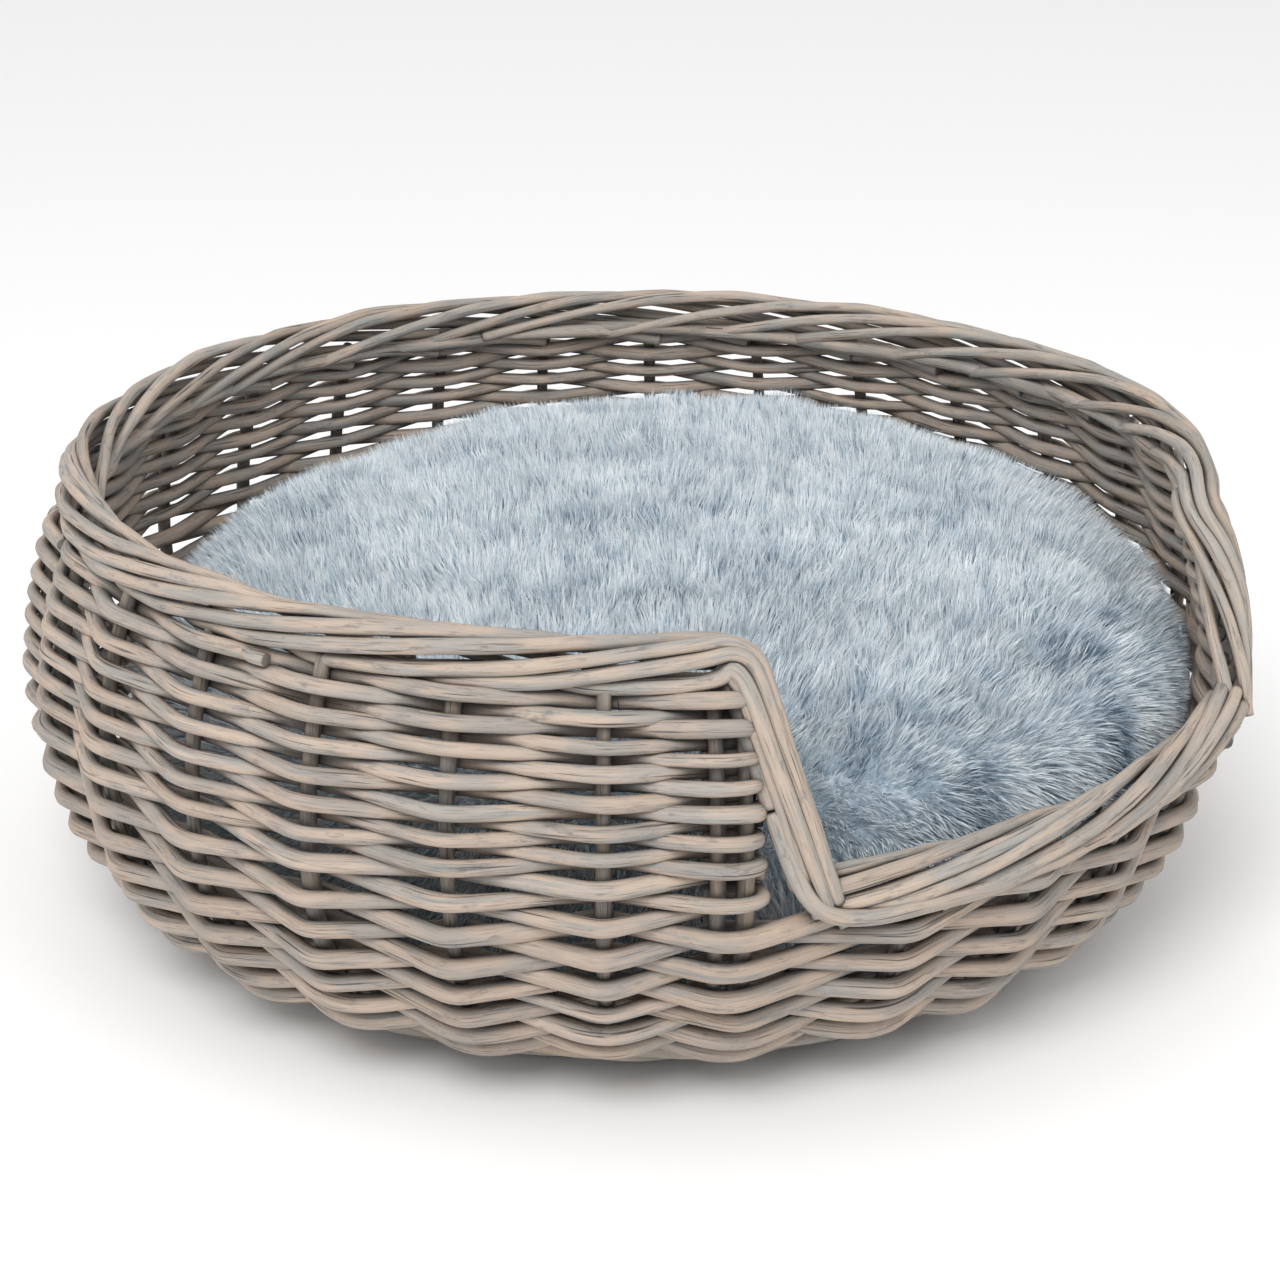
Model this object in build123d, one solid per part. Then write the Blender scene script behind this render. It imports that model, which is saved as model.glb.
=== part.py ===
from build123d import *
import os
from math import asin, atan2, cos, degrees, radians, sin, sqrt, tan

# Round willow pet bed with a cut-down entrance and a loose fur-topped cushion.
# Frame: origin on the floor under the middle of the basket, +Z up, entrance towards -Y.
# Wall angles are measured from the entrance (-Y), positive towards +X.

# ---- driving dimensions (mm, degrees) ----
BELLY_RADIUS = 250.0  # outside of the wall at its widest
BELLY_Z = 105.0
LOWER_BULGE = 122.8  # radius of the wall's lower curve, outside
UPPER_BULGE = 162.5  # radius of the wall's upper curve, outside
STAKE_COUNT = 28
STAKE_D = 5.5
STAKE_DEPTH = 8.0  # from the outside of the wall to the stakes' middle line
FLOOR_Z = 20.0  # middle height of the woven base
GAP = 0.35  # clearance where one rod passes another

THICK_D = 6.4  # weavers of the lower wall
THICK_PITCH = 6.75
THIN_D = 4.4  # weavers of the upper wall
THIN_PITCH = 4.8
FULL_ROWS = 11  # rows that go all the way round
THICK_CUT_ROWS = 3  # thick rows that stop at the entrance
THIN_CUT_ROWS = 13

RIM_Z = 180.0
RIM_ROD_D = 5.6
RIM_IN_OUT = 4.8  # half the spacing of the border's rods across the wall
RIM_UP_DOWN = 6.8  # the same, up and down
RIM_TURNS = 8
TOP_CORNER = 31.5
LOW_CORNER = 25.5
LOW_RIM_Z = 99.0
CORNER_POST = 34.9
CORNER_POST_STEP = 1.5

FOOT_RADIUS = 178.0
FOOT_ROD_D = 6.4
FOOT_TWIST = 4.4
FOOT_WEAR = 0.2  # the foot's rods are worn flat by this much where they stand
UPSETT_RADIUS = 201.0  # the waling under the bend of the stakes
UPSETT_Z = 11.2
UPSETT_ROD_D = 4.8
UPSETT_TWIST = 3.2
ROPE_TURNS = 10
ROPE_STATIONS_PER_TURN = 9

PIERCED_D = 10.0  # base sticks that are slit for the others
THROUGH_D = 6.0
BASE_WEAVER_D = 5.2
BASE_PITCH = 5.9
BASE_FIRST_RING = 46.0
BASE_INNER_RINGS = 13
BASE_OUTER_RINGS = 8
BASE_STICK_END = 168.0
STAKE_TAIL_START = 122.0
STAKE_TAIL_END = 168.0

CUSHION_RADIUS = 211.0
CUSHION_TOP = 155.0
CUSHION_BOTTOM = 32.0
CUSHION_CROWN = 7.0  # rise of the top from its rolled edge to its middle
CUSHION_ROLL = 26.0  # radius of the rolled edge
FUR_THICKNESS = 9.0
LINING_THICKNESS = 1.5

STEP_ANGLE = 360.0 / STAKE_COUNT
VERTICES_PER_TURN = 8
TILT_STEP = 9.0
FOOT_TILT = 45.0  # lean of the wall where the stakes leave the base
STAKE_BEND = 110.0
WEAVER_BEND = 18.0
BORDER_BEND = 14.0
BASE_BEND = 8.0
ROD_END_GAP = 0.8  # degrees between a closed rod's end and its start

os.makedirs("parts", exist_ok=True)


# ---- places on the wall ----
LOWER_R = LOWER_BULGE - STAKE_DEPTH
UPPER_R = UPPER_BULGE - STAKE_DEPTH
LOWER_C = BELLY_RADIUS - LOWER_BULGE
UPPER_C = BELLY_RADIUS - UPPER_BULGE


def wall_radius(z):
    """Radius of the stakes' middle line at height z."""
    if z < BELLY_Z:
        return LOWER_C + sqrt(LOWER_R**2 - (BELLY_Z - z) ** 2)
    return UPPER_C + sqrt(UPPER_R**2 - (z - BELLY_Z) ** 2)


def wall_at(tilt, out=0.0):
    """Radius and height where the wall leans by tilt degrees, moved out along its normal.

    The tilt is positive below the belly and negative above it.
    """
    centre, bend = (LOWER_C, LOWER_R) if tilt > 0 else (UPPER_C, UPPER_R)
    reach = bend + out
    return centre + reach * cos(radians(tilt)), BELLY_Z - reach * sin(radians(tilt))


def polar(angle, radius, z):
    return Vector(radius * sin(radians(angle)), -radius * cos(radians(angle)), z)


def outward(angle):
    return Vector(sin(radians(angle)), -cos(radians(angle)), 0)


# ---- rods ----
def rod(points, diameter, bend):
    """A round rod along straight runs with rounded corners."""
    points = [Vector(*p) for p in points]
    radii = []
    for before, here, after in zip(points, points[1:], points[2:]):
        turn = radians((here - before).get_angle(after - here))
        shorter = min((here - before).length, (after - here).length)
        radii.append(min(bend, 0.45 * shorter / tan(turn / 2)))
    path = FilletPolyline(*points, radius=radii) if radii else Polyline(*points)
    section = Plane(origin=path @ 0, z_dir=path % 0) * Circle(diameter / 2)
    return sweep(section, path=path).solid()


def save(node, solids, colour):
    solids = solids if isinstance(solids, list) else [solids]
    shape = Compound(children=solids) if len(solids) > 1 else solids[0]
    shape.label = node
    shape.color = Color(*colour)
    export_step(shape, f"parts/{node}.step")


WILLOW = (0.70, 0.62, 0.55)
WILLOW_DARK = (0.45, 0.40, 0.36)
FUR = (0.69, 0.74, 0.80)
CLOTH = (0.45, 0.50, 0.56)
WADDING = (0.92, 0.92, 0.90)


# ---- stakes ----
def stake_points(angle, top_tilt, low_tilt=FOOT_TILT):
    """Corners of a stake's line up the wall, which touches the wall's two curves."""
    stops = [low_tilt]
    while stops[-1] > max(top_tilt, 0.0):
        stops.append(max(stops[-1] - TILT_STEP, top_tilt, 0.0))
    while stops[-1] > top_tilt:
        stops.append(max(stops[-1] - TILT_STEP, top_tilt))
    corners = []
    for a, b in zip(stops, stops[1:]):
        middle = (a + b) / 2
        bend = LOWER_R if middle > 0 else UPPER_R
        r, z = wall_at(middle, bend / cos(radians(a - b) / 2) - bend)
        corners.append(polar(angle, r, z))
    r, z = wall_at(top_tilt)
    return corners + [polar(angle, r, z)]


def side_stake(angle, spoke, side, top_tilt):
    """A stake that lies beside a base stick, bends up at the foot and follows the wall."""
    offset = side * (stick_room(spoke) + STAKE_D / 2 + GAP)
    along = outward(spoke * 2 * STEP_ANGLE)
    across = Vector(-along.Y, along.X, 0)
    tail = [along * x + across * offset + Vector(0, 0, FLOOR_Z) for x in (STAKE_TAIL_START, STAKE_TAIL_END)]
    low_r, low_z = wall_at(FOOT_TILT)
    foot = polar(angle, low_r - (low_z - FLOOR_Z), FLOOR_Z)
    return rod(tail + [foot] + stake_points(angle, top_tilt), STAKE_D, STAKE_BEND)


def stick_diameter(spoke):
    """Three thick sticks run along Y and four thin ones along X, so the spokes nearest Y are thick."""
    return PIERCED_D if abs(cos(radians(spoke * 2 * STEP_ANGLE))) > 0.85 else THROUGH_D


def stick_room(spoke):
    """Half the width that a base stick takes, as the thin sticks do not run exactly at the middle."""
    return PIERCED_D / 2 if stick_diameter(spoke) == PIERCED_D else THROUGH_D / 2 + 1.7


WALL_TOP_TILT = -degrees(asin((RIM_Z - RIM_UP_DOWN - RIM_ROD_D / 2 - 1.5 - BELLY_Z) / UPPER_R))
LOW_TOP_TILT = degrees(asin((BELLY_Z - LOW_RIM_Z + RIM_UP_DOWN + RIM_ROD_D / 2 + 1.0) / LOWER_R))


def stake_angle(number):
    """Stakes are numbered from the first one on the +X side of the entrance."""
    plain = (number + 0.5) * STEP_ANGLE
    if number == 2:
        return CORNER_POST
    if number == STAKE_COUNT - 3:
        return 360.0 - CORNER_POST
    return plain


short, tall = [], []
for spoke in range(STAKE_COUNT // 2):
    for side in (-1, 1):
        number = (2 * spoke - (side < 0)) % STAKE_COUNT
        at_entrance = number < 2 or number > STAKE_COUNT - 3
        top = LOW_TOP_TILT if at_entrance else WALL_TOP_TILT
        stake = side_stake(stake_angle(number), spoke, side, top)
        (short if at_entrance else tall).append(stake)
save("entrance_stakes", short, WILLOW_DARK)
save("side_stakes", tall, WILLOW_DARK)

POST_START_TILT = 24.0
posts = []
for sign in (-1, 1):
    angle = sign * (CORNER_POST + CORNER_POST_STEP)
    r, z = wall_at(POST_START_TILT)
    line = [polar(angle, r, z)] + stake_points(angle, WALL_TOP_TILT, POST_START_TILT)
    posts.append(rod(line, STAKE_D, STAKE_BEND))
save("corner_posts", posts, WILLOW_DARK)


# ---- wall weavers ----
def row_tilt(length):
    """Wall lean after a length along the stakes, counted up from the foot."""
    lower = LOWER_R * radians(FOOT_TILT)
    if length < lower:
        return FOOT_TILT - degrees(length / LOWER_R)
    return -degrees((length - lower) / UPPER_R)


def pass_by(angle, tilt, side, diameter, turn):
    """The corner of a weaver that passes a stake, pushed out so that its rounded corner clears the stake."""
    spare = WEAVER_BEND * (1 / cos(radians(turn) / 2) - 1)
    r, z = wall_at(tilt, side * ((STAKE_D + diameter) / 2 + GAP + spare))
    return polar(angle, r, z)


def weaver(row, length, diameter, whole):
    tilt = row_tilt(length)
    radius = wall_at(tilt)[0]
    zigzag = degrees(atan2(STAKE_D + diameter, radius * radians(STEP_ANGLE)))
    doubled = tilt < POST_START_TILT + 2.0
    points = []
    first = 2 if not whole else 3 + 2 * row
    count = STAKE_COUNT - 4 if not whole else STAKE_COUNT + 1
    for step in range(count):
        number = (first + step) % STAKE_COUNT
        side = 1 if (number + row) % 2 else -1
        turn = 2 * zigzag + side * STEP_ANGLE
        angles = [stake_angle(number)]
        if doubled and number == 2:
            angles.append(CORNER_POST + CORNER_POST_STEP)
        if doubled and number == STAKE_COUNT - 3:
            angles.insert(0, 360.0 - CORNER_POST - CORNER_POST_STEP)
        if whole and step in (0, count - 1):
            angles = [angles[0] + (1.2 if step == 0 else -1.2)]
        beside_post = number in (2, 3, STAKE_COUNT - 4, STAKE_COUNT - 3)
        turn += 8.0 if beside_post else 0.0
        points += [pass_by(a, tilt, side, diameter, turn) for a in angles]
    if not whole:
        side = 1 if (2 + row) % 2 else -1
        points.insert(0, pass_by(CORNER_POST - 1.5, tilt, side, diameter, 0))
        side = 1 if (STAKE_COUNT - 3 + row) % 2 else -1
        points.append(pass_by(1.5 - CORNER_POST, tilt, side, diameter, 0))
    return rod(points, diameter, WEAVER_BEND)


length = 3.0
for row in range(FULL_ROWS):
    save(f"lower_weaver_{row + 1:02d}", weaver(row, length, THICK_D, True), WILLOW)
    length += THICK_PITCH
for row in range(THICK_CUT_ROWS):
    save(f"middle_weaver_{row + 1}", weaver(FULL_ROWS + row, length, THICK_D, False), WILLOW)
    length += THICK_PITCH
length += (THIN_PITCH - THICK_PITCH) / 2
for row in range(THIN_CUT_ROWS):
    number = FULL_ROWS + THICK_CUT_ROWS + row
    save(f"upper_weaver_{row + 1:02d}", weaver(number, length, THIN_D, False), WILLOW)
    length += THIN_PITCH


# ---- plaited borders ----
def strand(centres, phases, half_in_out, half_up_down, diameter):
    """One rod of a plait: it circles the plait's middle line, at the given phase at each corner."""
    points = []
    for i, (centre, phase) in enumerate(zip(centres, phases)):
        normal = Vector(centre.X, centre.Y, 0).normalized()
        runs = []
        if i > 0:
            runs.append((centre - centres[i - 1]).normalized())
        if i < len(centres) - 1:
            runs.append((centres[i + 1] - centre).normalized())
        sides = [normal.cross(run).normalized() for run in runs]
        mean = (sides[0] + sides[-1]).normalized()
        side = mean / mean.dot(sides[0])
        shift_out = normal * (half_in_out * cos(radians(phase)))
        points.append(centre + shift_out + side * (half_up_down * sin(radians(phase))))
    return rod(points, diameter, BORDER_BEND)


def on_wall(angle, z):
    return polar(angle, wall_radius(z), z)


def rim_line():
    """Middle line of the high border, and how far its rods have turned at each corner."""
    slope = (TOP_CORNER - LOW_CORNER) / (RIM_Z - LOW_RIM_Z)
    down = [(LOW_CORNER + slope * (z - LOW_RIM_Z), z) for z in (92.0, 116.0, 140.0)]
    corners = [on_wall(angle, z) for angle, z in down] + [on_wall(TOP_CORNER, RIM_Z)]
    phases = [45.0] * len(corners)
    twisted = RIM_TURNS * VERTICES_PER_TURN
    start = TOP_CORNER + 8.0
    for i in range(twisted + 1):
        angle = start + (360.0 - 2 * start) * i / twisted
        corners.append(on_wall(angle, RIM_Z))
        phases.append(45.0 + 360.0 * i / VERTICES_PER_TURN)
    corners.append(on_wall(-TOP_CORNER, RIM_Z))
    corners += [on_wall(-angle, z) for angle, z in reversed(down)]
    phases += [phases[-1]] * 4
    return corners, phases


def low_line():
    """Middle line of the low border at the entrance."""
    steps = 2 * VERTICES_PER_TURN
    end = LOW_CORNER - 2.6
    corners = [on_wall(-end + 2 * end * i / steps, LOW_RIM_Z) for i in range(steps + 1)]
    return corners, [45.0 + 360.0 * i / VERTICES_PER_TURN for i in range(steps + 1)]


for name, line in (("rim_rod", rim_line()), ("entrance_rod", low_line())):
    corners, phases = line
    for number in range(4):
        turned = [phase + 90.0 * number for phase in phases]
        rod_solid = strand(corners, turned, RIM_IN_OUT, RIM_UP_DOWN, RIM_ROD_D)
        save(f"{name}_{number + 1}", rod_solid, WILLOW)


# ---- foot border and upsett ----
def round_rope(number, radius, z, twist, diameter, hand):
    """One of three rods twisted together all the way round the basket, to either hand."""
    stations = ROPE_TURNS * ROPE_STATIONS_PER_TURN
    first = number * stations // 3
    places = [(first + i) * 360.0 / stations for i in range(stations + 1)]
    places[0] += ROD_END_GAP
    places[-1] -= ROD_END_GAP
    corners = [polar(angle, radius, z) for angle in places]
    start = 30.0 + 120.0 * number
    turn = hand * 360.0 / ROPE_STATIONS_PER_TURN
    phases = [start + turn * (first + i) for i in range(stations + 1)]
    return strand(corners, phases, twist, twist, diameter)


FOOT_Z = FOOT_TWIST + FOOT_ROD_D / 2 - FOOT_WEAR
for number in range(3):
    foot_rod = round_rope(number, FOOT_RADIUS, FOOT_Z, FOOT_TWIST, FOOT_ROD_D, 1)
    save(f"foot_rod_{number + 1}", split(foot_rod, Plane.XY, keep=Keep.TOP).solid(), WILLOW)
    upsett_rod = round_rope(number, UPSETT_RADIUS, UPSETT_Z, UPSETT_TWIST, UPSETT_ROD_D, -1)
    save(f"upsett_rod_{number + 1}", upsett_rod, WILLOW)


# ---- base sticks ----
PIERCED_PITCH = PIERCED_D + 0.5
THROUGH_PITCH = THROUGH_D + 0.2
PIERCED_BEND = PIERCED_PITCH / tan(radians(2 * STEP_ANGLE))
THROUGH_BEND = PIERCED_PITCH + PIERCED_D / 2 + 3.0
spoke_lines = {}


def base_stick(lane, pitch, bend_at, spokes, diameter, along):
    """A stick that crosses the middle straight and fans out to two opposite spokes."""
    across = Vector(along.Y, -along.X, 0)
    ends = []
    for sign, spoke in zip((-1, 1), spokes):
        bend = along * (sign * bend_at) + across * (lane * pitch)
        end = outward(spoke * 2 * STEP_ANGLE) * BASE_STICK_END
        spoke_lines[spoke] = (bend, end)
        ends.append((bend, end))
    points = [ends[0][1], ends[0][0], ends[1][0], ends[1][1]]
    if lane == 0:
        points = [points[0], points[-1]]
    return rod([p + Vector(0, 0, FLOOR_Z) for p in points], diameter, 12.0)


half_way = STAKE_COUNT // 4
slit = Pos(0, 0, FLOOR_Z) * Box(60.0, 4 * THROUGH_PITCH, THROUGH_D + 0.1)
pierced = []
for lane in (-1, 0, 1):
    spokes = (lane % (2 * half_way), half_way - lane)
    stick = base_stick(lane, PIERCED_PITCH, PIERCED_BEND, spokes, PIERCED_D, Vector(0, 1, 0))
    pierced.append((stick - slit).solid())
save("pierced_base_sticks", pierced, WILLOW_DARK)

through = []
for lane in (-1.5, -0.5, 0.5, 1.5):
    spokes = (int(1.5 * half_way + lane), int(half_way / 2 - lane))
    through.append(base_stick(lane, THROUGH_PITCH, THROUGH_BEND, spokes, THROUGH_D, Vector(1, 0, 0)))
save("through_base_sticks", through, WILLOW_DARK)


# ---- base weave ----
def crossing(spoke, radius):
    """Wall angle at which a base stick crosses a ring of the base weave."""
    bend, end = spoke_lines[spoke]
    run = (end - bend).normalized()
    along = bend.dot(run)
    place = bend + run * (sqrt(radius**2 - bend.dot(bend) + along**2) - along)
    return degrees(atan2(place.X, -place.Y))


def base_ring(ring, radius, doubled):
    """One round of the base weave, over one stick and under the next."""
    count = STAKE_COUNT // 2
    first = ring % count
    points = []
    for step in range(count + 1):
        spoke = (first + step) % count
        thick = stick_diameter(spoke)
        side = 1 if (step + ring) % 2 else -1
        height = FLOOR_Z + side * ((thick + BASE_WEAVER_D) / 2 + GAP + 0.5)
        half_width = thick / 2 if not doubled else stick_room(spoke) + STAKE_D
        spread = degrees(half_width / radius)
        centre = crossing(spoke, radius)
        angles = [centre - spread, centre + spread]
        if step == 0:
            angles[0] = centre + 1.0
        if step == count:
            angles[1] = centre - 1.0
        points += [polar(angle, radius, height) for angle in angles]
    return rod(points, BASE_WEAVER_D, BASE_BEND)


inner, outer = [], []
for ring in range(BASE_INNER_RINGS + BASE_OUTER_RINGS):
    doubled = ring >= BASE_INNER_RINGS
    radius = BASE_FIRST_RING + ring * BASE_PITCH
    (outer if doubled else inner).append(base_ring(ring, radius, doubled))
save("inner_base_weave", inner, WILLOW)
save("outer_base_weave", outer, WILLOW)


# ---- cushion ----
EDGE_Z = 78.0  # height where the cushion is widest
SEAM_Z = 50.0  # where the fur top is sewn to the plain underside


def cushion_body(inset_top, inset_bottom):
    """Round pad, flat below, rolled at the edge and slightly crowned on top."""
    radius = CUSHION_RADIUS - inset_top
    low = CUSHION_BOTTOM + inset_bottom
    top = CUSHION_TOP - inset_top
    shoulder = (radius - CUSHION_ROLL, top - CUSHION_CROWN)
    roll_start = (radius, shoulder[1] - CUSHION_ROLL)
    diagonal = CUSHION_ROLL * sqrt(0.5)
    roll_middle = (shoulder[0] + diagonal, roll_start[1] + diagonal)
    crown = (shoulder[0] ** 2 + CUSHION_CROWN**2) / (2 * CUSHION_CROWN)
    half = shoulder[0] / 2
    crown_middle = (half, top - crown + sqrt(crown**2 - half**2))
    under_edge = (radius - 28.0, low)
    outline = [
        Line((0, top), (0, low)),
        Line((0, low), under_edge),
        ThreePointArc(under_edge, (radius - 7.0, 52.0), (radius, EDGE_Z)),
        Line((radius, EDGE_Z), roll_start),
        ThreePointArc(roll_start, roll_middle, shoulder),
        ThreePointArc(shoulder, crown_middle, (0, top)),
    ]
    face = make_face(Wire(outline).edges())
    return revolve(Plane.XZ * face, Axis.Z).solid()


whole_cushion = cushion_body(0.0, 0.0)
inside = cushion_body(FUR_THICKNESS, LINING_THICKNESS)
cover = whole_cushion - inside
save("fur_cover", split(cover, Plane.XY.offset(SEAM_Z), keep=Keep.TOP).solid(), FUR)
save("lining_cover", split(cover, Plane.XY.offset(SEAM_Z - 0.1), keep=Keep.BOTTOM).solid(), CLOTH)
save("cushion_filling", cushion_body(FUR_THICKNESS + 0.1, LINING_THICKNESS + 0.1), WADDING)
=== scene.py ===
from math import asin, cos, degrees, pi, radians, sin, sqrt

import bpy
import numpy as np
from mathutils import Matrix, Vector


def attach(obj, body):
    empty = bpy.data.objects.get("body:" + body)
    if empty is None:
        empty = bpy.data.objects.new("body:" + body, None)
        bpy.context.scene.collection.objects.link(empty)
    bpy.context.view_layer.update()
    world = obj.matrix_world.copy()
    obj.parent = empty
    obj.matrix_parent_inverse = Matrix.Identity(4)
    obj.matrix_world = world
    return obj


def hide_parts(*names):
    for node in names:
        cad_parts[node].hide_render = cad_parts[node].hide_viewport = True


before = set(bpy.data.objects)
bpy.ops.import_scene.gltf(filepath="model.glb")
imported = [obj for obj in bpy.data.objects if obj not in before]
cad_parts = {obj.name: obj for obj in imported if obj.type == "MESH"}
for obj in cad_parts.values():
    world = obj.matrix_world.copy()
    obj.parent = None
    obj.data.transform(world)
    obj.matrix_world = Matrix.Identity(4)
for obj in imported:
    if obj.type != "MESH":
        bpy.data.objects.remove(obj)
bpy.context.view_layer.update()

# Round willow pet bed in metres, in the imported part's frame: origin on the floor, +Z up, and the
# entrance towards -Y. Angles on the wall are in degrees, from 0 at the entrance and growing towards +X.
# The wall's section is two arcs that meet at the belly, and a place on it is given by its lean there.

MM = 0.001

# ---- the basket's layout, as in the CAD model unless it says otherwise ----
BELLY_RADIUS = 0.250
BELLY_Z = 0.105
STAKE_COUNT = 28
STAKE_DEPTH = 0.008  # the stakes' middle lines lie this far inside the wall's outer face
STAKE_RADIUS = 0.0028
LOWER_ARC, UPPER_ARC = 0.1228, 0.1625  # radii of the wall's outer face below and above the belly
LOWER_R = LOWER_ARC - STAKE_DEPTH
UPPER_R = UPPER_ARC - STAKE_DEPTH
LOWER_C = BELLY_RADIUS - LOWER_ARC
UPPER_C = BELLY_RADIUS - UPPER_ARC
FOOT_TILT = 45.0  # the wall's lean where the stakes bend in to the base
STEP_ANGLE = 360.0 / STAKE_COUNT
THICK_ROWS, MIDDLE_ROWS, THIN_ROWS = 11, 3, 13
THICK_PITCH, THIN_PITCH = 0.00675, 0.0048
THICK_RADIUS, MIDDLE_RADIUS, THIN_RADIUS = 0.00362, 0.00345, 0.00285
FIRST_ROW = 0.003  # length up the stakes from their bend
FLAT_ROWS = 4  # the lowest rows, which wave less sharply
RIM_Z, LOW_RIM_Z = 0.180, 0.099
TOP_CORNER, LOW_CORNER = 31.5, 25.5  # where the entrance's sides meet the high and the low border
CORNER_POST, POST_STEP = 33.4, 2.3  # the doubled posts, a little nearer the entrance than in CAD
FIRST_POST, LAST_POST = 2, STAKE_COUNT - 3  # their stake numbers, on the entrance's right and left
RIGHT_FLARE = 0.009  # how far the entrance's right side leans out at its foot
LEFT_SHIFT = 2.3  # the entrance's left side stands this many degrees further from the middle
FLOOR_Z = 0.020  # middle of the base, where the stakes' tails lie
FOOT_RADIUS = 0.178  # of the border that the basket stands on
BASKET, CUSHION = "basket", "cushion"


# ---------------------------------------------------------------- small tools
def noise_line(rng, count, smooth):
    """Random values that change smoothly along a line, about -1 to 1."""
    raw = rng.standard_normal(count + 6 * smooth)
    kernel = np.exp(-0.5 * (np.arange(-3 * smooth, 3 * smooth + 1) / smooth) ** 2)
    kernel /= sqrt((kernel**2).sum())
    return np.convolve(raw, kernel, "same")[3 * smooth : 3 * smooth + count]


def round_noise(seed, waves):
    """A smooth random function of the angle round the basket, in degrees."""
    rng = np.random.default_rng(seed)
    sizes = rng.standard_normal(waves) / np.sqrt(waves)
    starts = rng.uniform(0, 2 * pi, waves)

    def at(angle):
        turn = np.radians(np.asarray(angle, float))[..., None]
        return (sizes * np.sin(turn * np.arange(1, waves + 1) + starts)).sum(-1)

    return at


def smooth(edge0, edge1, x):
    t = np.clip((x - edge0) / (edge1 - edge0), 0, 1)
    return t * t * (3 - 2 * t)


def wall_radius(z):
    z = np.asarray(z, float)
    low = LOWER_C + np.sqrt(np.maximum(LOWER_R**2 - (BELLY_Z - z) ** 2, 0))
    high = UPPER_C + np.sqrt(np.maximum(UPPER_R**2 - (z - BELLY_Z) ** 2, 0))
    return np.where(z < BELLY_Z, low, high)


def wall_at(tilt, out=0.0):
    """Radius and height on the wall where it leans by tilt degrees, moved out along its normal."""
    tilt, out = np.broadcast_arrays(np.asarray(tilt, float), np.asarray(out, float))
    centre = np.where(tilt > 0, LOWER_C, UPPER_C)
    reach = np.where(tilt > 0, LOWER_R, UPPER_R) + out
    return centre + reach * np.cos(np.radians(tilt)), BELLY_Z - reach * np.sin(np.radians(tilt))


def polar(angle, radius, z):
    angle = np.radians(angle)
    return np.stack(np.broadcast_arrays(radius * np.sin(angle), -radius * np.cos(angle), z), -1)


def stake_angle(number):
    number %= STAKE_COUNT
    if number == FIRST_POST:
        return CORNER_POST
    if number == LAST_POST:
        return 360.0 - CORNER_POST
    return (number + 0.5) * STEP_ANGLE


def slant_angle(z):
    """Where the entrance's slanting sides stand at a height, in degrees from its middle."""
    return LOW_CORNER + (TOP_CORNER - LOW_CORNER) * (z - LOW_RIM_Z) / (RIM_Z - LOW_RIM_Z)


def resample(points, step):
    """Evenly spaced points along a line of straight runs."""
    points = np.asarray(points, float)
    lengths = np.r_[0, np.cumsum(np.linalg.norm(np.diff(points, axis=0), axis=1))]
    places = np.linspace(0, lengths[-1], max(int(lengths[-1] / step), 2) + 1)
    return np.stack([np.interp(places, lengths, points[:, i]) for i in range(3)], -1)


def soften(points, sigma):
    """Rounds the corners of an evenly sampled line; its two ends stay."""
    step = np.linalg.norm(points[1] - points[0])
    reach = max(int(3 * sigma / step), 1)
    kernel = np.exp(-0.5 * (np.arange(-reach, reach + 1) * step / sigma) ** 2)
    kernel /= kernel.sum()
    before = 2 * points[0] - points[reach:0:-1]
    after = 2 * points[-1] - points[-2 : -reach - 2 : -1]
    padded = np.concatenate([before, points, after])
    return np.stack([np.convolve(padded[:, i], kernel, "valid") for i in range(3)], -1)


# ---------------------------------------------------------------- willow rods
SIDES = 12
ROD_STEP = 0.002  # between the rings along a rod
OVAL, RIDGES = 0.07, 0.03  # how far a rod's section is from round, as a share of its radius
LUMPS, KNOTS = 0.035, 0.015  # how its thickness varies slowly and quickly, as a share of its radius


def rod_surface(points, radius, rng):
    """One slightly oval, lumpy willow rod: vertices, faces, grain coordinates, lengths from an end."""
    count = len(points)
    tangent = np.gradient(points, axis=0)
    tangent /= np.linalg.norm(tangent, axis=1)[:, None]
    across = np.zeros_like(points)
    start = np.cross(tangent[0], [0.3, 0.2, 0.93])
    across[0] = start / np.linalg.norm(start)
    for i in range(1, count):
        v = across[i - 1] - tangent[i] * across[i - 1].dot(tangent[i])
        across[i] = v / np.linalg.norm(v)
    up = np.cross(tangent, across)
    length = np.r_[0, np.cumsum(np.linalg.norm(np.diff(points, axis=0), axis=1))]
    turn = np.arange(SIDES) * 2 * pi / SIDES
    oval = OVAL * noise_line(rng, count, 12)[:, None] * np.cos(2 * turn + rng.uniform(0, pi))
    ridge = RIDGES * noise_line(rng, count, 5)[:, None] * np.cos(3 * turn + rng.uniform(0, pi))
    lumps = 1 + LUMPS * noise_line(rng, count, 9) + KNOTS * noise_line(rng, count, 2)
    size = (radius * lumps)[:, None] * (1 + oval + ridge)
    outward = across[:, None] * np.cos(turn)[:, None] + up[:, None] * np.sin(turn)[:, None]
    ring = size[..., None] * outward
    vertices = (points[:, None] + ring).reshape(-1, 3)
    index = np.arange(count - 1)[:, None] * SIDES + np.arange(SIDES)
    right = np.arange(count - 1)[:, None] * SIDES + (np.arange(SIDES) + 1) % SIDES
    faces = np.stack([index, right, right + SIDES, index + SIDES], -1).reshape(-1, 4)
    shift = rng.uniform(0, 10, 2)
    grain = np.stack(
        [
            np.repeat(length + shift[0], SIDES),
            np.tile(np.cos(turn), count) * np.repeat(radius, SIDES) + shift[1],
            np.tile(np.sin(turn), count) * np.repeat(radius, SIDES),
        ],
        -1,
    )
    from_end = np.repeat(np.minimum(length, length[-1] - length), SIDES)
    return vertices, faces, grain, from_end


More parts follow.
